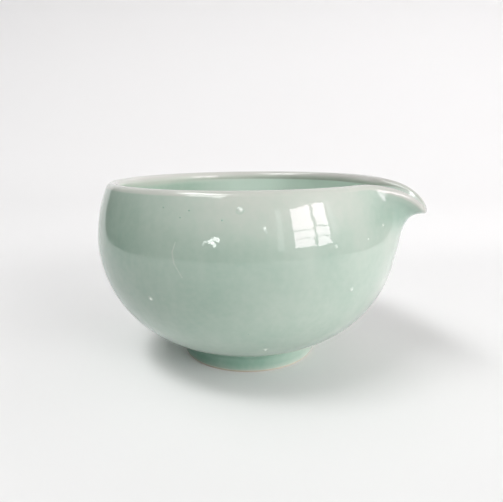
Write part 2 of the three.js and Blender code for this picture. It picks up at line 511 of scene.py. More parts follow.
@dataclass(frozen=True)
class KilnGrain:
    """Unevenness that fired surfaces share: slow clouds, fine grain and drawn-out streaks."""

    name: str = "kiln_grain"

    def build(self) -> bpy.types.ShaderNodeTree:
        """Makes the node group.

        Returns:
            The group, with Cloud, Grain and Streak as values from 0 to 1.
        """
        tree = bpy.data.node_groups.new(self.name, "ShaderNodeTree")
        face = tree.interface
        details = {"Cloud": CLOUD_DETAIL, "Grain": GRAIN_DETAIL, "Streak": CLOUD_DETAIL}
        for name in details:
            face.new_socket(f"{name} Scale", in_out="INPUT", socket_type="NodeSocketFloat")
            face.new_socket(name, in_out="OUTPUT", socket_type="NodeSocketFloat")
        face.new_socket("Streak Stretch", in_out="INPUT", socket_type="NodeSocketVector")
        wiring = Wiring(tree)
        entry = wiring.add("NodeGroupInput").outputs
        place = wiring.object_place()
        stretched = {0: place, 1: entry["Streak Stretch"]}
        drawn = wiring.add("ShaderNodeVectorMath", stretched, operation="MULTIPLY").outputs[0]
        result = {}
        for name, detail in details.items():
            where = drawn if name == "Streak" else place
            result[name] = wiring.noise(where, entry[f"{name} Scale"], detail)
        wiring.add("NodeGroupOutput", result)
        return tree


@dataclass(frozen=True)
class GrainScales:
    """How fine the shared unevenness is on one surface, in waves to the metre."""

    group: bpy.types.ShaderNodeTree
    cloud: float
    grain: float
    streak: float
    stretch: tuple[float, float, float]

    def place(self, wiring: Wiring) -> bpy.types.NodeOutputs:
        """Places the unevenness in a material and gives its Cloud, Grain and Streak."""
        inputs = {"Cloud Scale": self.cloud, "Grain Scale": self.grain, "Streak Scale": self.streak}
        inputs["Streak Stretch"] = self.stretch
        return wiring.add("ShaderNodeGroup", inputs, node_tree=self.group).outputs


@dataclass(frozen=True)
class CeladonFinish:
    """Glossy pale green glaze with fine bubbles, deeper where it pools and greyer where it runs thin.

    The colours from lip to deep follow the glaze's depth from 0 to 1. Drift, runs and mottle are how
    much the clouds, streaks and grain change that depth. Noise keeps mostly between grain_low and
    grain_high, over which the clear gloss on top goes from clear to dull. Where the glaze was wiped,
    the wiped roughness is added.
    """

    grain: GrainScales
    lip: Colour = (0.51, 0.505, 0.475, 1)
    shoulder: Colour = (0.51, 0.54, 0.485, 1)
    body: Colour = (0.405, 0.495, 0.425, 1)
    deep: Colour = (0.13, 0.29, 0.21, 1)
    # Paler green of the inside: painted light that brightens the shaded inside.
    inside: Colour = (0.78, 0.90, 0.82, 1)
    speck: Colour = (0.16, 0.19, 0.15, 1)
    shoulder_depth: float = 0.25
    body_depth: float = 0.5
    drift: float = 0.30
    runs: float = 0.16
    mottle: float = 0.12
    grain_low: float = 0.3
    grain_high: float = 0.7
    clear_roughness: float = 0.02
    dull_roughness: float = 0.04
    wiped_roughness: float = 0.10
    peel_height: float = 0.03 * MM
    speck_scale: float = 110.0
    speck_radius: float = 0.030
    speck_share: float = 0.2
    speck_strength: float = 0.5
    scatter_roughness: float = 0.45
    scatter_ior: float = 1.45
    scatter_gloss: float = 0.3
    coat_ior: float = 1.52

    def specks(self, wiring: Wiring) -> Socket:
        """Gives how far each place is covered by one of the few fine iron specks.

        Args:
            wiring: The material's tree.

        Returns:
            Socket with shares from 0 to 1.
        """
        inputs = {"Vector": wiring.object_place(), "Scale": self.speck_scale}
        cells = wiring.add("ShaderNodeTexVoronoi", inputs).outputs
        spot = wiring.span(cells["Distance"], self.speck_radius, 2 * self.speck_radius, 1, 0)
        chosen = wiring.add("ShaderNodeSeparateColor", {"Color": cells["Color"]})
        rare = wiring.math("LESS_THAN", chosen.outputs["Red"], self.speck_share)
        return wiring.math("MULTIPLY", wiring.math("MULTIPLY", spot, rare), self.speck_strength)

    def colour(self, wiring: Wiring, grain: bpy.types.NodeOutputs) -> Socket:
        """Joins the glaze's depth, clouds, streaks and iron specks into one colour.

        Args:
            wiring: The material's tree.
            grain: The shared unevenness, placed in that tree.

        Returns:
            Socket with the colour.
        """
        uneven = wiring.add("ShaderNodeAttribute", attribute_name="glaze_depth").outputs["Fac"]
        for name, amount in (("Cloud", self.drift), ("Streak", self.runs), ("Grain", self.mottle)):
            uneven = wiring.math("ADD", uneven, wiring.either_way(grain[name], amount))
        ramp = wiring.add("ShaderNodeValToRGB", {"Fac": uneven})
        stops = ramp.color_ramp.elements
        stops[0].color, stops[1].color = self.lip, self.deep
        stops.new(self.shoulder_depth).color = self.shoulder
        stops.new(self.body_depth).color = self.body
        # Blends in the inside's paler colour: painted light on the inside and on the grains' tops.
        pale = wiring.add("ShaderNodeAttribute", attribute_name="glaze_inside").outputs["Fac"]
        plain = wiring.blend(pale, ramp.outputs["Color"], self.inside)
        return wiring.blend(self.specks(wiring), plain, self.speck)

    def coat(self, wiring: Wiring) -> tuple[Socket, Socket]:
        """Joins the unevenness of the clear gloss on top, from noise in the material itself.

        Args:
            wiring: The material's tree.

        Returns:
            Sockets with its roughness and its normals.
        """
        place = wiring.object_place()
        cloud = wiring.noise(place, self.grain.cloud, CLOUD_DETAIL)
        ends = (self.grain_low, self.grain_high, self.clear_roughness, self.dull_roughness)
        dull = wiring.add("ShaderNodeAttribute", attribute_name="glaze_dull").outputs["Fac"]
        roughness = wiring.math("MULTIPLY_ADD", dull, self.wiped_roughness, wiring.span(cloud, *ends))
        fine = wiring.noise(place, self.grain.grain, GRAIN_DETAIL)
        return roughness, wiring.bump(fine, self.peel_height)

    def build(self) -> bpy.types.Material:
        """Makes the material.

        Returns:
            The material.
        """
        material, wiring, shader = new_material("celadon_glaze")
        grain = self.grain.place(wiring)
        coat_roughness, coat_normal = self.coat(wiring)
        wiring.fill(shader, {
            "Base Color": self.colour(wiring, grain),
            "Roughness": self.scatter_roughness,
            "IOR": self.scatter_ior,
            "Specular IOR Level": self.scatter_gloss,
            "Normal": wiring.bump(grain["Grain"], self.peel_height),
            "Coat Weight": 1.0,
            "Coat Roughness": coat_roughness,
            "Coat IOR": self.coat_ior,
            "Coat Normal": coat_normal,
        })
        return material


@dataclass(frozen=True)
class StonewareFinish:
    """Bare fired clay, matt and slightly grained, its colour mixed by clouds and grain."""

    grain: GrainScales
    pale: Colour = (0.56, 0.53, 0.41, 1)
    dark: Colour = (0.44, 0.38, 0.30, 1)
    cloud_share: float = 0.6
    grain_share: float = 0.6
    darkening: float = 0.1
    streak_relief: float = 0.5
    grain_height: float = 0.06 * MM
    grain_low: float = 0.3
    grain_high: float = 0.7
    least_roughness: float = 0.75
    most_roughness: float = 0.95

    def build(self) -> bpy.types.Material:
        """Makes the material.

        Returns:
            The material.
        """
        material, wiring, shader = new_material("bare_clay")
        grain = self.grain.place(wiring)
        mottle = wiring.math("MULTIPLY_ADD", grain["Cloud"], self.cloud_share, -self.darkening)
        share = wiring.math("MULTIPLY_ADD", grain["Grain"], self.grain_share, mottle)
        relief = wiring.math("MULTIPLY_ADD", grain["Streak"], self.streak_relief, grain["Grain"])
        ends = (self.grain_low, self.grain_high, self.least_roughness, self.most_roughness)
        wiring.fill(shader, {
            "Base Color": wiring.blend(share, self.dark, self.pale),
            "Roughness": wiring.span(grain["Grain"], *ends),
            "Normal": wiring.bump(relief, self.grain_height),
        })
        return material


@dataclass(frozen=True)
class Pimple:
    """One raised grain under the glaze: where it is on the outside, how large and how dark.

    Depth is the glaze's depth on its top: 0 is palest and 1 is darkest.
    """

    turn: float
    height: float
    size: float = 1.0
    depth: float = 0.02

    @classmethod
    def seen(cls, degrees: float, millimetres: float, *looks: float) -> "Pimple":
        """Notes a grain by its angle from the spout, its height, and its size and depth if it has any."""
        return cls(math.radians(degrees), millimetres * MM, *looks)


@dataclass(frozen=True)
class Thread:
    """A thin raised thread of glaze, made of small grains in a row."""

    degrees: tuple[float, ...]
    millimetres: tuple[float, ...]
    count: int
    size: float
    depth: float

    def grains(self) -> tuple[Pimple, ...]:
        """Gives the grains, evenly spread along the thread's points."""
        share, along = np.linspace(0, 1, len(self.degrees)), np.linspace(0, 1, self.count)
        turns, heights = (np.interp(along, share, ends) for ends in (self.degrees, self.millimetres))
        places = zip(turns.tolist(), heights.tolist())
        return tuple(Pimple.seen(turn, height, self.size, self.depth) for turn, height in places)


@dataclass(frozen=True)
class PimpleForm:
    """Shape of the raised grains, made by one Geometry Nodes tree.

    A grain is a bell that rises from the glaze, with an underside that lies root times the sink below.
    Spread is how far its size strays. Grains that are thinner than pale_below take the inside's paler
    colour on their tops, partly thin glaze and partly a painted highlight.
    """

    width: float = 2.6 * MM
    height: float = 0.42 * MM
    sink: float = 0.02 * MM
    root: float = 3.0
    spread: float = 0.15
    steepness: float = 7.0
    segments: int = 20
    rings: int = 24
    top_above: float = 0.01
    foot_depth: float = 0.52
    pale_below: float = 0.25
    paleness: float = 0.7
    seed: int = 4

    def one_grain(self, wiring: Wiring, entry: bpy.types.NodeOutputs) -> Socket:
        """Shapes a ball into one grain that points up.

        Args:
            wiring: The tree.
            entry: The tree's inputs.

        Returns:
            Socket with the grain, its bell stored on its points.
        """
        inputs = {"Segments": self.segments, "Rings": self.rings, "Radius": 1.0}
        ball = wiring.add("GeometryNodeMeshUVSphere", inputs).outputs["Mesh"]
        position = wiring.add("GeometryNodeInputPosition").outputs[0]
        spot = wiring.add("ShaderNodeSeparateXYZ", {0: position}).outputs
        squares = [wiring.math("MULTIPLY", spot[axis], spot[axis]) for axis in (0, 1)]
        fall = wiring.math("MULTIPLY", wiring.math("ADD", *squares), -self.steepness)
        bell = wiring.math("EXPONENT", fall)
        top = wiring.math("SUBTRACT", wiring.math("MULTIPLY", bell, entry["Height"]), entry["Sink"])
        under = wiring.math("MULTIPLY", entry["Sink"], -self.root)
        is_top = wiring.math("GREATER_THAN", spot[2], self.top_above)
        ends = {"Value": is_top, "To Min": under, "To Max": top}
        rise = wiring.add("ShaderNodeMapRange", ends).outputs[0]
        half = wiring.math("MULTIPLY", entry["Width"], 0.5)
        across = [wiring.math("MULTIPLY", spot[axis], half) for axis in (0, 1)]
        shaped = wiring.add("ShaderNodeCombineXYZ", {0: across[0], 1: across[1], 2: rise}).outputs[0]
        marked = wiring.store(ball, "bell", bell)
        return wiring.add("GeometryNodeSetPosition", {"Geometry": marked, "Position": shaped}).outputs[0]

    def strewn(
        self, wiring: Wiring, entry: bpy.types.NodeOutputs, grain: Socket
    ) -> Socket:
        """Puts the grain on each point, turned to face out of the glaze.

        Args:
            wiring: The tree.
            entry: The tree's inputs.
            grain: Socket with one grain.

        Returns:
            Socket with all the grains as real geometry.
        """
        least = wiring.math("SUBTRACT", 1.0, entry["Spread"])
        most = wiring.math("ADD", 1.0, entry["Spread"])
        chance = wiring.add("FunctionNodeRandomValue", {"Min": least, "Max": most, "Seed": entry["Seed"]})
        facing = {"Vector": wiring.read("facing", "FLOAT_VECTOR")}
        turned = wiring.add("FunctionNodeAlignRotationToVector", facing, axis="Z")
        inputs = {
            "Points": wiring.add("GeometryNodeMeshToPoints", {"Mesh": entry["Geometry"]}).outputs[0],
            "Instance": grain,
            "Rotation": turned.outputs[0],
            "Scale": wiring.math("MULTIPLY", wiring.read("size"), chance.outputs["Value"]),
        }
        placed = wiring.add("GeometryNodeInstanceOnPoints", inputs).outputs[0]
        return wiring.add("GeometryNodeRealizeInstances", {"Geometry": placed}).outputs[0]

    def marked(self, wiring: Wiring, grains: Socket) -> Socket:
        """Stores the glaze's depth and paleness on the grains, the pale tops partly thin glaze and partly
        a painted highlight.

        Args:
            wiring: The tree.
            grains: Socket with all the grains.

        Returns:
            Socket with the marked grains.
        """
        bell, top_depth = wiring.read("bell"), wiring.read("top_depth")
        change = wiring.math("SUBTRACT", top_depth, self.foot_depth)
        depth = wiring.math("MULTIPLY_ADD", bell, change, self.foot_depth)
        # Pale tops: partly thin glaze, partly a painted highlight.
        is_pale = wiring.math("LESS_THAN", top_depth, self.pale_below)
        pale = wiring.math("MULTIPLY", bell, wiring.math("MULTIPLY", is_pale, self.paleness))
        return wiring.store(wiring.store(grains, "glaze_depth", depth), "glaze_inside", pale)

    def build_tree(self, finish: bpy.types.Material) -> bpy.types.GeometryNodeTree:
        """Makes the tree that puts one grain on each point.

        Args:
            finish: Material of the grains.

        Returns:
            The tree, with named inputs for the grains' sizes.
        """
        tree = bpy.data.node_groups.new("glaze_pimples", "GeometryNodeTree")
        face = tree.interface
        face.new_socket("Geometry", in_out="INPUT", socket_type="NodeSocketGeometry")
        for name in ("Width", "Height", "Sink", "Spread"):
            face.new_socket(name, in_out="INPUT", socket_type="NodeSocketFloat")
        face.new_socket("Seed", in_out="INPUT", socket_type="NodeSocketInt")
        face.new_socket("Geometry", in_out="OUTPUT", socket_type="NodeSocketGeometry")
        wiring = Wiring(tree)
        entry = wiring.add("NodeGroupInput").outputs
        grains = self.strewn(wiring, entry, self.one_grain(wiring, entry))
        inputs = {"Geometry": self.marked(wiring, grains)}
        rounded = wiring.add("GeometryNodeSetShadeSmooth", inputs).outputs[0]
        inputs = {"Geometry": rounded, "Material": finish}
        dressed = wiring.add("GeometryNodeSetMaterial", inputs).outputs[0]
        wiring.add("NodeGroupOutput", {"Geometry": dressed})
        return tree

    def point_cloud(self, points: Array, facing: Array, pimples: list[Pimple]) -> bpy.types.Mesh:
        """Makes the points that carry the grains.

        Args:
            points: Places on the glaze, with shape (count, 3).
            facing: Directions out of the glaze there.
            pimples: The grains at those places.

        Returns:
            Mesh of loose points that hold each grain's facing, size and depth.
        """
        cloud = bpy.data.meshes.new("pimple_points")
        cloud.from_pydata(points.tolist(), [], [])
        cloud.attributes.new("facing", "FLOAT_VECTOR", "POINT").data.foreach_set("vector", facing.ravel())
        sizes, depths = [grain.size for grain in pimples], [grain.depth for grain in pimples]
        for name, values in (("size", sizes), ("top_depth", depths)):
            cloud.attributes.new(name, "FLOAT", "POINT").data.foreach_set("value", values)
        return cloud

    def build(self, cloud: bpy.types.Mesh, finish: bpy.types.Material) -> bpy.types.Mesh:
        """Makes the grains' mesh.

        Args:
            cloud: Points that carry the grains.
            finish: Material of the grains.

        Returns:
            One mesh of all the grains.
        """
        carrier = new_object("pimple_points", cloud)
        modifier = carrier.modifiers.new("pimples", "NODES")
        modifier.node_group = self.build_tree(finish)
        values = {"Width": self.width, "Height": self.height, "Sink": self.sink}
        values.update({"Spread": self.spread, "Seed": self.seed})
        for item in modifier.node_group.interface.items_tree:
            if item.in_out == "INPUT" and item.name in values:
                modifier[item.identifier] = values[item.name]
        evaluated = carrier.evaluated_get(bpy.context.evaluated_depsgraph_get())
        mesh = bpy.data.meshes.new_from_object(evaluated)
        mesh.name = "glaze_pimples"
        carrier.modifiers.clear()
        bpy.data.objects.remove(carrier)
        return mesh


PALE_PIMPLES = (
    Pimple.seen(-71.3, 69.8, 1.1),
    Pimple.seen(-101.7, 39.1),
    Pimple.seen(-34.8, 41.3, 1.1),
    Pimple.seen(-62.4, 19.0, 1.2),
    Pimple.seen(-42.2, 57.1, 0.8),
    Pimple.seen(-19.1, 61.2, 0.7),
    Pimple.seen(-28.5, 57.8, 0.7),
)
DARK_PIMPLES = (
    Pimple.seen(-89.4, 67.2, 0.35, 1.2),
    Pimple.seen(-86.7, 69.4, 0.3, 1.2),
    Pimple.seen(-95.7, 70.0, 0.35, 1.2),
    Pimple.seen(-76.4, 66.7, 0.35, 1.2),
    Pimple.seen(-69.2, 27.9, 0.3, 1.3),
)
PALE_THREAD = Thread(
    degrees=(-90.5, -91.5, -91.0, -88.6),
    millimetres=(59.5, 56.5, 53.0, 48.6),
    count=30,
    size=0.22,
    depth=0.3,
)


@dataclass
class Band:
    """Points at every angle along part of a coat's section.

    Depth is how deep the glaze lies: 0 thin, one half plain, 1 pooled, with painted shade and light mixed
    in. Inside is how far the glaze has the inside's paler colour, which is painted light, and dull how far
    it lacks its gloss.
    """

    points: Array
    depth: Array | float = 0.5
    inside: Array | float = 0.0
    dull: Array | float = 0.0


def coat_mesh(name: str, bands: list[Band], axis_x: float) -> bpy.types.Mesh:
    """Joins bands into one closed coat of glaze.

    Args:
        name: Name of the mesh.
        bands: Bands in order, from the axis and back to it, relative to the axis.
        axis_x: Place of the axis in the part's frame.

    Returns:
        The mesh, with the glaze's depth, paleness and dullness on its points.
    """
    sections = np.concatenate([band.points for band in bands], axis=1)
    mesh = turned_mesh(name, sections + (axis_x, 0, 0), ring=False)
    for look in ("depth", "inside", "dull"):
        values = [np.zeros(band.points.shape[:2]) + getattr(band, look) for band in bands]
        mark_points(mesh, f"glaze_{look}", np.concatenate(values, axis=1))
    return mesh


@dataclass(frozen=True)
class GlazeFlow:
    """How deep, pale and dull the glaze is, with painted shade and painted light worked into its depth and
    paleness.

    Depth is 0 where the glaze is thin, one half where it is plain and 1 where it has pooled. Besides real
    thinning and pooling, it carries painted shade, deeper on one side of the outside, in a dark patch of
    painted reflection up that side, beside and under the spout and at the back of the inside, and painted
    light, paler on the other side of the outside.
    Paleness is how far it has the inside's paler colour, which is painted light on the inside, and
    dullness how far it lacks its gloss. Turns are angles from the spout, widths are in widths of the
    spout, and each pair of places, turns or shares gives where an effect starts and where it is whole.
    """

    form: BowlForm
    plain: float = 0.5
    # Painted shade and painted light: the outside's colour is darker on one side and paler on the other.
    painted_side_shade: float = 0.15
    painted_shade_turn: float = math.radians(-125)
    shoulder_thin: float = 0.25
    shoulder_kept: float = 0.6
    low_deep: float = 0.03
    # Painted reflection: a darker patch up one side of the outside, where the shoulder is also kept from
    # thinning.
    low_places: Pair = (1.9, 1.3)
    dark_reflection_turn: float = math.radians(-122)
    dark_reflection_shares: Pair = (0.7, 0.95)
    dark_reflection_places: Pair = (1.5, 2.0)
    dark_reflection_deep: float = 0.02
    # Painted shade on the spout's flanks; under its beak the deeper glaze is partly pooled glaze and
    # partly painted shade.
    high_places: Pair = (2.1, 2.6)
    flank_width: float = 2.2
    flank_painted_shade: float = 0.19
    beak_width: float = 1.5
    beak_pool_and_shade: float = 0.18
    beak_power: float = 3
    pool_deep: float = 0.3
    pool_fade: float = 0.12
    tip_width: float = 1.15
    tip_shares: Pair = (0.55, 1.0)
    tip_edge_shares: Pair = (0.92, 1.0)
    tip_thin: float = 0.2
    lip_depth: float = 0.28
    rim_places: Pair = (2.86, Place.LIP)
    rim_thin: float = 0.3
    throat_thin: float = 0.4
    # Painted shade: the glaze is deeper at the back of the inside.
    back_turns: Pair = (math.radians(112), math.radians(150))
    back_places: Pair = (1.2, 2.4)
    back_painted_shade: float = 0.08
    # Painted light: the inside is paler beside the spout than at the back.
    pale_turns: Pair = (math.radians(155), math.radians(92))
    pale_places: Pair = (1.1, 2.4)
    pale_floor: float = 0.25
    throat_pale: float = 0.5
    wiped_width: float = 2.4
    wiped_power: float = 4
    wiped_places: Pair = (2.3, 2.7)
    bead_depth: float = 0.3
    swell_depths: Pair = (0.46, 0.66)
    # Shares of the painted side shade and light on the foot.
    swell_side_shade: float = 2.0
    foot_depth: float = 0.65
    foot_side_shade: float = 2.3
    corner_depth: float = 0.66
    corner_side_shade: float = 2.1
    floor_depth: float = 0.55
    middle_depth: float = 0.6
    well_depth: float = 0.55
    well_corner_depth: float = 0.8
    well_edge_depth: float = 0.35

    def beside(self, turns: Array, width: float, power: float) -> Array:
        """A swell in front of the spout, its width in widths of the spout."""
        return self.form.bell(turns, width * self.form.spout_width, power)

    def painted_side_shade_depth(self, turns: Array) -> Array:
        """Painted shade and painted light: how much deeper the glaze colour is on the shaded side, and how
        much paler on the lit side.
        """
        return self.painted_side_shade * np.cos(turns - self.painted_shade_turn)

    def on_foot(self, turns: Array, depth: Array | float, share: float) -> Array:
        """Depth on the foot, with a share of the painted side shade and light added."""
        return depth + share * self.painted_side_shade_depth(turns)

    def spout_thinning(self, turns: Array, places: Array) -> Array:
        """How far the glaze runs thin over the spout."""
        bell = self.beside(turns, self.tip_width, self.form.reach_side_power)
        return bell * smooth(*self.tip_shares, self.form.spout_share(places[None]))

    def wall_depth(self, turns: Array, places: Array, pool_place: float) -> Array:
        """Measures the depth on the outside: thin at the shoulder and the tip, deep at the foot, with
        painted shade and light on its sides and by the spout.

        Args:
            turns: Angles round the axis, as a column.
            places: Places along the wall.
            pool_place: Place where the pool above the foot ends.

        Returns:
            Depths at every angle and place.
        """
        high = smooth(*self.high_places, places)
        flank = self.beside(turns, self.flank_width, self.beak_power) * high
        beak = self.beside(turns, self.beak_width, self.beak_power) * high
        # Painted reflection of a dark part of the room, as deeper glaze up one side.
        dark_reflection = smooth(*self.dark_reflection_shares, np.cos(turns - self.dark_reflection_turn))
        kept = self.shoulder_kept * (flank + dark_reflection)
        thin = self.shoulder_thin * smooth(Place.BELLY, Place.LIP, places) * (1 - kept)
        deep = self.low_deep * smooth(*self.low_places, places) + self.flank_painted_shade * flank
        deep = deep + self.beak_pool_and_shade * beak + self.dark_reflection_deep * dark_reflection * smooth(*self.dark_reflection_places, places)
        pooled = self.pool_deep * smooth(pool_place + self.pool_fade, pool_place, places)
        edge = smooth(*self.tip_edge_shares, self.form.spout_share(places[None]))
        edge = self.tip_thin * edge * self.spout_thinning(turns, places)
        return self.plain - thin + deep + pooled + self.painted_side_shade_depth(turns) - edge

    def inner_depth(self, turns: Array, places: Array) -> Array:
        """Depth down the inside: thin just below the lip and in the spout, and deeper at the back as
        painted shade.
        """
        back = smooth(*self.back_turns, from_spout(turns)) * smooth(*self.back_places, places)
        thin = self.rim_thin * smooth(*self.rim_places, places)
        thin = thin + self.throat_thin * self.spout_thinning(turns, places)
        return self.plain - thin + self.back_painted_shade * back

    def inner_painted_light(self, turns: Array, places: Array) -> Array:
        """Painted light down the inside, as paleness: most under the rim beside the spout, none there at
        the back.
        """
        even = smooth(*self.pale_turns, from_spout(turns))
        pale = lerp(self.pale_floor, even, smooth(*self.pale_places, places))
        return pale * (1 - self.throat_pale * self.spout_thinning(turns, places))

    def over_lip(self, angles: Array) -> Array:
        """Depth over the lip, thinnest on its crest; angles go from 0 outside to half a turn inside."""
        return self.lip_depth * np.cos(angles) ** 2

    def dullness(self, turns: Array, places: Array) -> Array:
        """Dullness where the glaze was wiped over the spout."""
        return self.beside(turns, self.wiped_width, self.wiped_power) * smooth(*self.wiped_places, places)


@dataclass
class GlazedBowl:
    """The clay body and the coats of glaze over it.

    Steps, rows and points are how finely the meshes follow the form. The rows of a wall are those below
    and above its belly, and the hidden ones lie against the clay. A row gap is how far along the wall
    the first row keeps from the foot's pool or corner. The first ring is the floor's innermost. The
    hidden pimples are strewn over the far side of the bowl.
    """

    form: BowlForm
    foot: FootForm
    glaze: GlazeForm = field(default_factory=GlazeForm)
    ripple: Ripple = field(default_factory=Ripple)
    pimple: PimpleForm = field(default_factory=PimpleForm)
    spout_steps: int = 92
    round_steps: int = 184
    spout_span: float = math.radians(30)
    outer_rows: tuple[int, int] = (52, 50)
    inner_rows: tuple[int, int] = (34, 40)
    hidden_rows: tuple[int, int] = (12, 12)
    floor_rows: int = 9
    first_ring: float = 0.08
    row_gap: float = 0.01
    hidden_row_gap: float = 0.02
    lip_points: int = 21
    hidden_lip_points: int = 7
    edge_points: int = 5
    side_points: int = 4
    pool_points: int = 12
    well_rows: int = 15
    well_corner_points: int = 10
    foot_points: int = 6
    search_steps: int = 400
    hidden_pimples: int = 12
    hidden_turns: Pair = (math.radians(35), math.radians(225))
    hidden_heights: Pair = (14 * MM, 41 * MM)
    hidden_sizes: Pair = (0.6, 1.1)
    seed: int = 8

    @property
    def flow(self) -> GlazeFlow:
        """How the glaze has run over this bowl."""
        return GlazeFlow(self.form)

    def turns(self) -> Array:
        """Angles round the axis as a column, closer together across the spout.

        Returns:
            Angles with shape (angles, 1).
        """
        front = np.linspace(-self.spout_span, self.spout_span, self.spout_steps, endpoint=False)
        end = 2 * math.pi - self.spout_span
        back = np.linspace(self.spout_span, end, self.round_steps, endpoint=False)
        return np.concatenate([front, back])[:, None]

    def surface(self, side: Side, turn: Array, place: Array, depth: float) -> Array:
        """Points on a face of the wall, sunk below the glaze by depth.

        Args:
            side: Outer or inner face.
            turn: Angles round the axis.
            place: Places along the wall.
            depth: Distance below the glaze's surface; at 0 both faces wander inward by the ripple.

        Returns:
            Points relative to the axis.
        """
        reach = side.value * (self.form.half(turn, place) - depth)
        if depth == 0:
            reach = reach + self.ripple.at(turn, place)
        out = self.form.directions(turn, place)[0]
        return self.form.centre(turn, place) + reach[..., None] * out

    def skin(self, side: Side, places: Array, depth: float) -> Array:
        """Points of a face at every angle, with shape (angles, places, 3)."""
        return self.surface(side, self.turns(), places[None], depth)

    def lip(self, depth: float, start: float, end: float, count: int) -> Array:
        """Points over the lip, from angle 0 outside to half a turn inside.

        Args:
            depth: Distance below the glaze's surface.
            start: First angle.
            end: Last angle.
            count: Number of points.

        Returns:
            Points with shape (angles, count, 3), relative to the axis.
        """
        turn, place = self.turns(), np.array([[Place.LIP]])
        out, along = self.form.directions(turn, place)
        radius = (self.form.half(turn, place) - depth)[..., None]
        angle = np.linspace(start, end, count)[None, :, None]
        return self.form.centre(turn, place) + radius * (np.cos(angle) * out + np.sin(angle) * along)

    def spun(self, outline: Array) -> Array:
        """Turns an outline of (radius, height) rows into points at every angle."""
        turn = self.turns()
        radius, height = outline[None, :, 0], outline[None, :, 1] + 0 * turn
        return np.stack([radius * np.cos(turn), radius * np.sin(turn), height], axis=-1)

    def placed(self, points: Array) -> Array:
        """Moves points from the bowl's axis to the part's frame."""
        return points + (self.form.axis_x, 0, 0)

    def place_at_radius(self, radius: float, depth: float) -> float:
        """Place on the lower arc where the outer skin, sunk by depth, has a radius."""
        reach = self.form.lower_arc + self.form.floor_thickness / 2 - depth
        return Place.BELLY - math.acos((radius - self.form.lower_centre) / reach) / (math.pi / 2)

    def flat_point(self, place: float, depth: float) -> Array:
        """Radius and height of the plain outer skin at a place, sunk by depth.

        Args:
            place: Place along the wall.
            depth: Distance below the glaze's surface.

        Returns:
            Radius and height.
        """
        turn, where = np.array([[math.pi]]), np.array([[place]])
        out = self.form.directions(turn, where)[0]
        reach = (self.form.half(turn, where) - depth)[..., None]
        point = (self.form.centre(turn, where) + reach * out)[0, 0]
        return np.array([math.hypot(point[0], point[1]), point[2]])

    @staticmethod
    def wall_places(rows: tuple[int, int]) -> Array:
        """Places up the wall from the floor's edge to just below the lip."""
        below, above = rows
        low = np.linspace(Place.FLOOR, Place.BELLY, below)[:-1]
        return np.concatenate([low, np.linspace(Place.BELLY, Place.LIP, above)[:-1]])

    def foot_bands(self, corner: Array, pool_place: float) -> list[Band]:
        """Shapes the coat up the foot, from its rounded edge to the pool under the belly.

        Args:
            corner: Radius and height of the coat's hidden corner between foot and belly.
            pool_place: Place where the pool meets the wall.

        Returns:
            The bands, from the hidden corner up to the wall.
        """
        glaze, foot, flow, turns = self.glaze, self.foot, self.flow, self.turns()
        sunk = glaze.thickness + glaze.gap
        skin_corner = np.array([foot.top_radius + sunk, corner[1] - glaze.thickness])
        pool_foot = skin_corner[1] - glaze.pool
        pool_start = np.array([foot.outer_at(pool_foot) + sunk, pool_foot])
        bottom = foot.outer_at(glaze.bare_height) + glaze.gap
        back = np.array([bottom, glaze.bare_height])
        edge = np.array([bottom + glaze.edge, glaze.bare_height])
        full = np.array([foot.outer_at(glaze.full_height) + sunk, glaze.full_height])
        bead = corner_curve(back, edge, edge + [0, 2 * glaze.edge], self.edge_points)
        swell = corner_curve(bead[-1], edge + [glaze.edge, 4 * glaze.edge], full, self.edge_points)[1:]
        side = np.linspace(full, pool_start, self.side_points)[1:-1]
        pool = corner_curve(pool_start, skin_corner, self.flat_point(pool_place, 0), self.pool_points)
        swelling = np.linspace(*flow.swell_depths, len(swell))
        return [
            Band(self.spun(np.array([corner]))),
            Band(self.spun(bead), flow.bead_depth),
            Band(self.spun(swell), flow.on_foot(turns, swelling, flow.swell_side_shade)),
            Band(self.spun(side), flow.on_foot(turns, flow.foot_depth, flow.foot_side_shade)),
            Band(self.spun(pool), flow.on_foot(turns, flow.corner_depth, flow.corner_side_shade)),
        ]

    def build_coat(self) -> bpy.types.Mesh:
        """Makes the coat over the outside, the lip and the inside as one closed shell.

        Returns:
            The coat's mesh.
        """
        glaze, foot, flow, turns = self.glaze, self.foot, self.flow, self.turns()
        corner_place = self.place_at_radius(foot.top_radius + glaze.gap, glaze.thickness)
        pool_place = self.place_at_radius(foot.top_radius + glaze.thickness + glaze.pool, 0)
        corner = self.flat_point(corner_place, glaze.thickness)
        outer = self.wall_places(self.outer_rows)
        outer = outer[outer > pool_place + self.row_gap]
        inner = self.wall_places(self.inner_rows)[::-1]
        floor = np.linspace(self.first_ring, Place.FLOOR, self.floor_rows)[:-1][::-1]
        hidden = self.wall_places(self.hidden_rows)
        hidden_outer = hidden[hidden > corner_place + self.hidden_row_gap][::-1]
        axis = np.array([Place.AXIS])
        over = np.linspace(0, math.pi, self.lip_points)
        crest_dull = flow.dullness(turns, np.full(len(over), Place.LIP))
        wall_depth = flow.wall_depth(turns, outer, pool_place)
        inside_depth, inside_pale = flow.inner_depth(turns, inner), flow.inner_painted_light(turns, inner)
        bands = [
            Band(self.skin(Side.INNER, np.concatenate([axis, hidden]), glaze.thickness)),
            Band(self.lip(glaze.thickness, math.pi, 0, self.hidden_lip_points)),
            Band(self.skin(Side.OUTER, hidden_outer, glaze.thickness)),
            *self.foot_bands(corner, pool_place),
            Band(self.skin(Side.OUTER, outer, 0), wall_depth, dull=flow.dullness(turns, outer)),
            Band(self.lip(0, 0, math.pi, len(over)), flow.over_lip(over), dull=crest_dull),
            Band(self.skin(Side.INNER, inner, 0), inside_depth, inside_pale, flow.dullness(turns, inner)),
            Band(self.skin(Side.INNER, floor, 0), flow.floor_depth, flow.inner_painted_light(turns, floor)),
            Band(self.skin(Side.INNER, axis, 0), flow.middle_depth, flow.inner_painted_light(turns, axis)),
        ]
        return coat_mesh("glaze_coat", bands, self.form.axis_x)

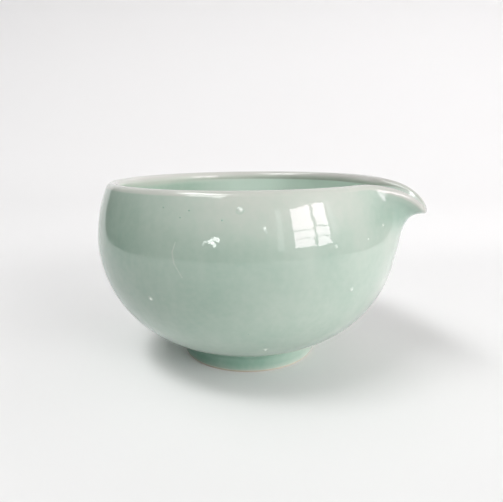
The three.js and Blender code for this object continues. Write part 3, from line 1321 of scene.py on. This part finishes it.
    def build_well_glaze(self) -> bpy.types.Mesh:
        """Makes the glaze in the hollow of the foot.

        Returns:
            The glaze's mesh.
        """
        glaze, foot, form, flow = self.glaze, self.foot, self.form, self.flow
        sunk = glaze.thickness + glaze.gap
        top = foot.inner_at(foot.top_height)
        corner_place = self.place_at_radius(top - glaze.gap, glaze.thickness)
        corner = self.flat_point(corner_place, glaze.thickness)
        skin_corner = corner - glaze.thickness
        pool_foot = skin_corner[1] - glaze.well_pool
        pool_start = np.array([foot.inner_at(pool_foot) - sunk, pool_foot])
        pool_top = np.array([skin_corner[0] - glaze.well_pool, form.well_height])
        edge = np.array([foot.inner_at(glaze.bare_height) - sunk, glaze.bare_height])
        back = np.array([foot.inner_at(glaze.bare_height) - glaze.gap, glaze.bare_height])
        roof = np.linspace([0, form.well_height], pool_top, self.well_rows, endpoint=False)
        pool = corner_curve(pool_top, skin_corner, pool_start, self.well_corner_points)
        bead = corner_curve(edge + [0, sunk], edge, back, self.edge_points)
        under = np.linspace(corner_place, Place.FLOOR, self.edge_points)[1:]
        lid = np.array([self.flat_point(place, glaze.thickness) for place in under])
        bands = [
            Band(self.spun(roof), flow.well_depth),
            Band(self.spun(pool), flow.well_corner_depth),
            Band(self.spun(bead), flow.well_edge_depth),
            Band(self.spun(np.array([corner]))),
            Band(self.spun(lid)),
            Band(self.spun(np.array([[0, form.well_height + glaze.thickness]]))),
        ]
        return coat_mesh("well_glaze", bands, form.axis_x)

    def build_foot(self) -> bpy.types.Mesh:
        """Makes the clay foot ring with worn edges.

        Returns:
            The ring's mesh.
        """
        foot, glaze, count = self.foot, self.glaze, self.foot_points
        depth = glaze.thickness + glaze.gap - foot.seam
        outer = self.place_at_radius(foot.top_radius, depth)
        inner = self.place_at_radius(foot.inner_at(foot.top_height), depth)
        seat = np.array([self.flat_point(place, depth) for place in np.linspace(outer, inner, count)])
        low, outside, inside = foot.chamfer, foot.radius, foot.inner_radius
        face = np.array([[inside + low, 0], [inside, 0], [inside, low]])
        rim = np.array([[outside - low, 0], [outside, 0], [outside, low]])
        outline = np.concatenate([
            np.linspace(face[0], rim[0], count)[:-1],
            corner_curve(*rim, count),
            seat,
            corner_curve(*face[::-1], count)[:-1],
        ])
        return turned_mesh("bare_foot", self.placed(self.spun(outline)), ring=True)

    def all_pimples(self) -> list[Pimple]:
        """The raised grains: those in view, then seeded ones on the far side.

        Returns:
            All the grains.
        """
        rng = np.random.default_rng(self.seed)
        pimples = [*PALE_PIMPLES, *DARK_PIMPLES, *PALE_THREAD.grains()]
        for _ in range(self.hidden_pimples):
            turn, height = rng.uniform(*self.hidden_turns), rng.uniform(*self.hidden_heights)
            pimples.append(Pimple(turn, height, rng.uniform(*self.hidden_sizes)))
        return pimples

    def build_pimples(self, finish: bpy.types.Material) -> bpy.types.Mesh:
        """Makes the raised grains on the outside of the wall.

        Args:
            finish: Material of the grains.

        Returns:
            One mesh of all the grains.
        """
        places = np.linspace(Place.FLOOR, Place.LIP, self.search_steps)
        pimples, points, facing = self.all_pimples(), [], []
        for pimple in pimples:
            turn = np.full((1, 1), pimple.turn)
            heights = self.surface(Side.OUTER, turn, places[None], 0)[0, :, 2]
            place = np.full((1, 1), np.interp(pimple.height, heights, places))
            points.append(self.surface(Side.OUTER, turn, place, 0)[0, 0])
            facing.append(self.form.directions(turn, place)[0][0, 0])
        cloud = self.pimple.point_cloud(self.placed(np.array(points)), np.array(facing), pimples)
        return self.pimple.build(cloud, finish)

    def assemble(self) -> None:
        """Builds and dresses every piece of the bowl."""
        group = KilnGrain().build()
        glaze_grain = GrainScales(group, cloud=38.0, grain=420.0, streak=110.0, stretch=(1, 1, 0.12))
        clay_grain = GrainScales(group, cloud=120.0, grain=1500.0, streak=260.0, stretch=(0.1, 0.1, 4))
        celadon, clay = CeladonFinish(glaze_grain).build(), StonewareFinish(clay_grain).build()
        for node in ("thrown_bowl", "spout"):
            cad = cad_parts[node]
            cad.data.materials.clear()
            cad.data.materials.append(clay)
            LOG.info("%s: dressed in bare clay", node)
        coat = self.build_coat()
        coat.materials.append(celadon)
        add_piece("glaze_coat", coat, ("outer_glaze", "inner_glaze"))
        well = self.build_well_glaze()
        well.materials.append(celadon)
        add_piece("well_glaze", well, ("foot_well_glaze",))
        add_piece("glaze_pimples", self.build_pimples(celadon), ())
        ring = self.build_foot()
        ring.materials.append(clay)
        add_piece("bare_foot", ring, ("foot_ring",))


@dataclass(frozen=True)
class PhotoCamera:
    """The photograph's camera, placed from the bowl's axis with the spout turned to the right."""

    axis_x: float
    focal_px: float = 454.9
    image_width_px: float = 503
    sensor_mm: float = 36
    distance: float = 196.1 * MM
    height: float = 88.3 * MM
    pitch: float = math.radians(12.9)
    yaw: float = math.radians(0.43)
    roll: float = math.radians(-0.61)
    clip: Pair = (0.01, 20)

    def build(self) -> bpy.types.Object:
        """Makes the camera and sets it as the scene's.

        Returns:
            The camera.
        """
        data = bpy.data.cameras.new("photo_camera")
        data.sensor_width = self.sensor_mm
        data.lens = self.focal_px / self.image_width_px * self.sensor_mm
        data.clip_start, data.clip_end = self.clip
        camera = new_object("photo_camera", data)
        forward = Vector((
            math.sin(self.yaw) * math.cos(self.pitch),
            math.cos(self.yaw) * math.cos(self.pitch),
            -math.sin(self.pitch),
        ))
        right = Vector((math.cos(self.yaw), -math.sin(self.yaw), 0))
        up = right.cross(forward)
        tilted_right = math.cos(self.roll) * right + math.sin(self.roll) * up
        tilted_up = math.cos(self.roll) * up - math.sin(self.roll) * right
        facing = Matrix((tilted_right, tilted_up, -forward)).transposed().to_4x4()
        place = Matrix.Translation(Vector((0, -self.distance, self.height)))
        camera.matrix_world = camera_frame(self.axis_x) @ place @ facing
        bpy.context.scene.camera = camera
        return camera


class Shows(Enum):
    """What a lamp shows in."""

    ALL = "all"
    SHADE = "shade"
    GLOSS = "gloss"


@dataclass(frozen=True)
class Glow:
    """A bright patch of the room, by its direction from the bowl as the camera sees it.

    Turns are degrees to the right of the camera's side, and rises degrees above level. Strength is the
    lamp's power, in units of 4 watts to the square metre. A patch may show only in the shading and
    shadows, or only as a highlight.
    """

    name: str
    turn: Pair
    rise: Pair
    strength: float
    tint: tuple[float, float, float] = (1, 1, 1)
    distance: float = 1.6
    tilt: float = 0.0
    shows: Shows = Shows.ALL

    def middle(self, aim: Vector) -> Vector:
        """The patch's middle."""
        turn, rise = (math.radians(sum(pair) / 2) for pair in (self.turn, self.rise))
        away = Vector((math.sin(turn) * math.cos(rise), -math.cos(turn) * math.cos(rise), math.sin(rise)))
        return aim + self.distance * away

    def size(self) -> Pair:
        """The patch's width and height."""
        level = math.cos(math.radians(sum(self.rise) / 2))
        across, up = (math.radians(pair[1] - pair[0]) for pair in (self.turn, self.rise))
        return 2 * self.distance * math.tan(across / 2) * level, 2 * self.distance * math.tan(up / 2)


WINDOW_TINT = (1.02, 0.985, 1.0)
PANE_TINT = (1.10, 0.92, 1.02)
LEFT_PANES = tuple(
    Glow(f"left_pane_{row}", (31.8, 46.7), rise, 6.0, PANE_TINT, shows=Shows.GLOSS)
    for row, rise in enumerate(((13.7, 28), (7.2, 12.8), (0.3, 6.7)))
)
RIGHT_PANES = tuple(
    Glow(f"right_pane_{row}", (48.8, 59.2), rise, 5.8, PANE_TINT, shows=Shows.GLOSS)
    for row, rise in enumerate(((14.4, 28), (7.1, 13.5), (0.5, 6.4)))
)
GLOWS = LEFT_PANES + RIGHT_PANES + (
    Glow("window_light", (31.8, 59.8), (0.5, 28), 7.2, WINDOW_TINT, shows=Shows.SHADE),
    Glow("right_wall", (64, 112), (2, 21), 3.4, shows=Shows.SHADE),
    Glow("soft_front", (-56, -24), (58, 70), 9.1),
    Glow("soft_side", (-84, -56), (54, 70), 9.4),
    Glow("soft_back", (-130, -90), (58, 68), 3.5),
    Glow("ceiling_edge", (-58, -20), (40, 50), 5.0, shows=Shows.GLOSS),
    Glow("far_pane", (-27.0, -23.3), (4.7, 9.2), 9.0, tilt=6, shows=Shows.GLOSS),
    Glow("far_pane_top", (-23.3, -18.8), (7.6, 9.9), 9.0, tilt=-14, shows=Shows.GLOSS),
    Glow("far_pane_low", (-23.9, -21.9), (3.4, 7.2), 8.0, tilt=24, shows=Shows.GLOSS),
    Glow("far_pane_left", (-29.5, -27.8), (5.4, 8.2), 6.0, tilt=20, shows=Shows.GLOSS),
    Glow("far_pane_end", (-30.8, -29.6), (2.8, 5.8), 4.0, tilt=-12, shows=Shows.GLOSS),
    Glow("sparkle", (11, 12.6), (15.6, 19), 9.0, tilt=-10, shows=Shows.GLOSS),
    Glow("sparkle_end", (12, 12.9), (13.2, 15.2), 8.0, tilt=10, shows=Shows.GLOSS),
    Glow("curtain_left", (20, 24.5), (0, 28), 1.2, shows=Shows.GLOSS),
    Glow("curtain_right", (61, 65), (4, 28), 1.0, shows=Shows.GLOSS),
)


@dataclass(frozen=True)
class Sheet:
    """The pale sheet that the bowl stands on, curved up behind it.

    Its paleness is near by the bowl, far away from it, low where it starts to curve up, and high at
    the back; these greys are painted fall-off of light over the sheet. It changes between the distances
    and heights that follow.
    """

    front: float = 0.387
    back_half_width: float = 0.46
    widening: float = 0.30
    curve_start: float = 0.15
    curve_radius: float = 0.25
    height: float = 0.70
    across: int = 48
    front_rows: int = 40
    flat_rows: int = 8
    curve_rows: int = 24
    # Greys of painted fall-off of light, palest by the bowl.
    near: float = 0.85
    far: float = 0.82
    low: float = 0.75
    high: float = 0.80
    away_fade: Pair = (0.05, 0.12)
    low_fade: Pair = (0.0, 0.04)
    high_fade: Pair = (0.08, 0.24)
    roughness: float = 0.9
    gloss: float = 0.1

    def section(self) -> tuple[Array, Array, Array]:
        """Follows the sheet from its front edge to its top.

        Returns:
            Distances behind the axis, heights and half widths.
        """
        front = -self.front * np.cos(np.linspace(0, math.pi / 2, self.front_rows))
        flat = np.linspace(0, self.curve_start, self.flat_rows)[1:]
        angle = np.linspace(0, math.pi / 2, self.curve_rows)[1:]
        curve = self.curve_start + self.curve_radius * np.sin(angle)
        depth = np.concatenate([front, flat, curve, [curve[-1]]])
        rise = self.curve_radius * (1 - np.cos(angle))
        height = np.concatenate([0 * front, 0 * flat, rise, [self.height]])
        half = np.sqrt(np.clip(self.front**2 - np.minimum(depth, 0) ** 2, 0, None))
        half = half + (self.back_half_width - self.front) * np.clip(depth / self.widening, 0, 1)
        return depth, height, half

    def build(self, matrix: Matrix) -> bpy.types.Object:
        """Makes the sheet.

        Args:
            matrix: Place of the studio.

        Returns:
            The sheet's object.
        """
        depth, height, half = self.section()
        share = np.linspace(-1, 1, self.across)
        deep, tall = (np.repeat(values[:, None], self.across, 1) for values in (depth, height))
        points = np.stack([half[:, None] * share, deep, tall], -1).reshape(-1, 3)
        index = np.arange(len(points)).reshape(len(depth), self.across)
        corners = [index[:-1, :-1], index[:-1, 1:], index[1:, 1:], index[1:, :-1]]
        mesh = bpy.data.meshes.new("paper_sheet")
        mesh.from_pydata(points.tolist(), [], np.stack(corners, -1).reshape(-1, 4).tolist())
        mesh.transform(matrix)
        mesh.shade_smooth()
        mesh.materials.append(self.paper())
        return new_object("paper_sheet", mesh)

    def paper(self) -> bpy.types.Material:
        """Makes the sheet's material, a little greyer away from the bowl and up the back, as painted
        fall-off of light.

        Returns:
            The material.
        """
        material, wiring, shader = new_material("pale_paper")
        place = wiring.object_place()
        rise = wiring.add("ShaderNodeSeparateXYZ", {0: place}).outputs[2]
        away = wiring.add("ShaderNodeVectorMath", {0: place}, operation="LENGTH").outputs["Value"]
        greys = (self.near, self.far, self.low, self.high)
        near, far, low, high = ((grey, grey, grey, 1) for grey in greys)
        floor = wiring.blend(wiring.span(away, *self.away_fade, 0.0, 1.0), near, far)
        curve = wiring.blend(wiring.span(rise, *self.low_fade, 0.0, 1.0), floor, low)
        paper = wiring.blend(wiring.span(rise, *self.high_fade, 0.0, 1.0), curve, high)
        inputs = {"Base Color": paper, "Roughness": self.roughness, "Specular IOR Level": self.gloss}
        wiring.fill(shader, inputs)
        return material


@dataclass
class Studio:
    """A pale sheet in a room that is dark level with the bowl and paler up its walls, with a window.

    The room's levels are its brightness at the table, on the walls and on the ceiling. It changes
    between the angles above level that are given in degrees.
    """

    axis_x: float
    aim_height: float = 50 * MM
    backdrop: float = 0.92
    table_level: float = 0.03
    wall_level: float = 0.45
    ceiling_level: float = 0.16
    wall_rise: Pair = (5, 25)
    ceiling_rise: Pair = (52, 68)
    room_tint: Colour = (1.0, 0.99, 0.98, 1)

    def room_light(self, wiring: Wiring) -> Socket:
        """Joins the room's brightness by height: dark level with the bowl, paler up the walls.

        Args:
            wiring: The world's tree.

        Returns:
            Socket with the brightness.
        """
        way = wiring.add("ShaderNodeTexCoord").outputs["Generated"]
        rise = wiring.math("ARCSINE", wiring.add("ShaderNodeSeparateXYZ", {0: way}).outputs[2])
        walls, ceiling = (tuple(map(math.radians, ends)) for ends in (self.wall_rise, self.ceiling_rise))
        wall = wiring.span(rise, *walls, self.table_level, self.wall_level)
        high = wiring.span(rise, *ceiling, 0.0, self.ceiling_level - self.wall_level)
        return wiring.math("ADD", wall, high)

    def build_world(self) -> None:
        """Makes the room's light, with a pale background for the camera."""
        world = bpy.data.worlds.new("room")
        world.use_nodes = True
        wiring = Wiring(world.node_tree)
        room, output = (world.node_tree.nodes[name] for name in ("Background", "World Output"))
        wiring.fill(room, {"Color": self.room_tint, "Strength": self.room_light(wiring)})
        pale = (self.backdrop, self.backdrop, self.backdrop, 1)
        seen = wiring.add("ShaderNodeBackground", {"Color": pale})
        path = wiring.add("ShaderNodeLightPath")
        inputs = {0: path.outputs["Is Camera Ray"], 1: room.outputs[0], 2: seen.outputs[0]}
        wiring.fill(output, {"Surface": wiring.add("ShaderNodeMixShader", inputs).outputs[0]})
        bpy.context.scene.world = world

    def add_glow(self, glow: Glow) -> None:
        """Adds one bright patch of the room as an area light that faces the bowl.

        Args:
            glow: The patch.
        """
        aim = Vector((0, 0, self.aim_height))
        middle = glow.middle(aim)
        width, height = glow.size()
        data = bpy.data.lights.new(glow.name, "AREA")
        data.shape = "RECTANGLE"
        data.size, data.size_y = width, height
        data.energy = WATTS_PER_STRENGTH * glow.strength * width * height
        data.color = glow.tint
        light = new_object(glow.name, data)
        facing = (aim - middle).to_track_quat("-Z", "Y").to_matrix().to_4x4()
        tilt = Matrix.Rotation(math.radians(glow.tilt), 4, "Z")
        light.matrix_world = camera_frame(self.axis_x) @ Matrix.Translation(middle) @ facing @ tilt
        light.visible_camera = False
        light.visible_diffuse = glow.shows is not Shows.GLOSS
        light.visible_glossy = glow.shows is not Shows.SHADE

    def build(self) -> None:
        """Builds the whole studio."""
        Sheet().build(camera_frame(self.axis_x))
        self.build_world()
        for glow in GLOWS:
            self.add_glow(glow)


def main() -> None:
    """Builds the bowl, the studio and the camera, and notes the sizes."""
    logging.basicConfig(level=logging.INFO)
    low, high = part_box("outer_glaze")
    foot_low, foot_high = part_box("foot_ring")
    belly = (high.y - low.y) / 2
    axis_x = low.x + belly
    form = BowlForm(axis_x=axis_x, belly_radius=belly, rim_height=high.z, tip_x=high.x)
    foot = FootForm(radius=(foot_high.y - foot_low.y) / 2)
    GlazedBowl(form=form, foot=foot).assemble()
    Studio(axis_x=axis_x).build()
    PhotoCamera(axis_x=axis_x).build()
    bpy.context.scene.view_settings.view_transform = "Standard"


if __name__ == "__main__":
    main()
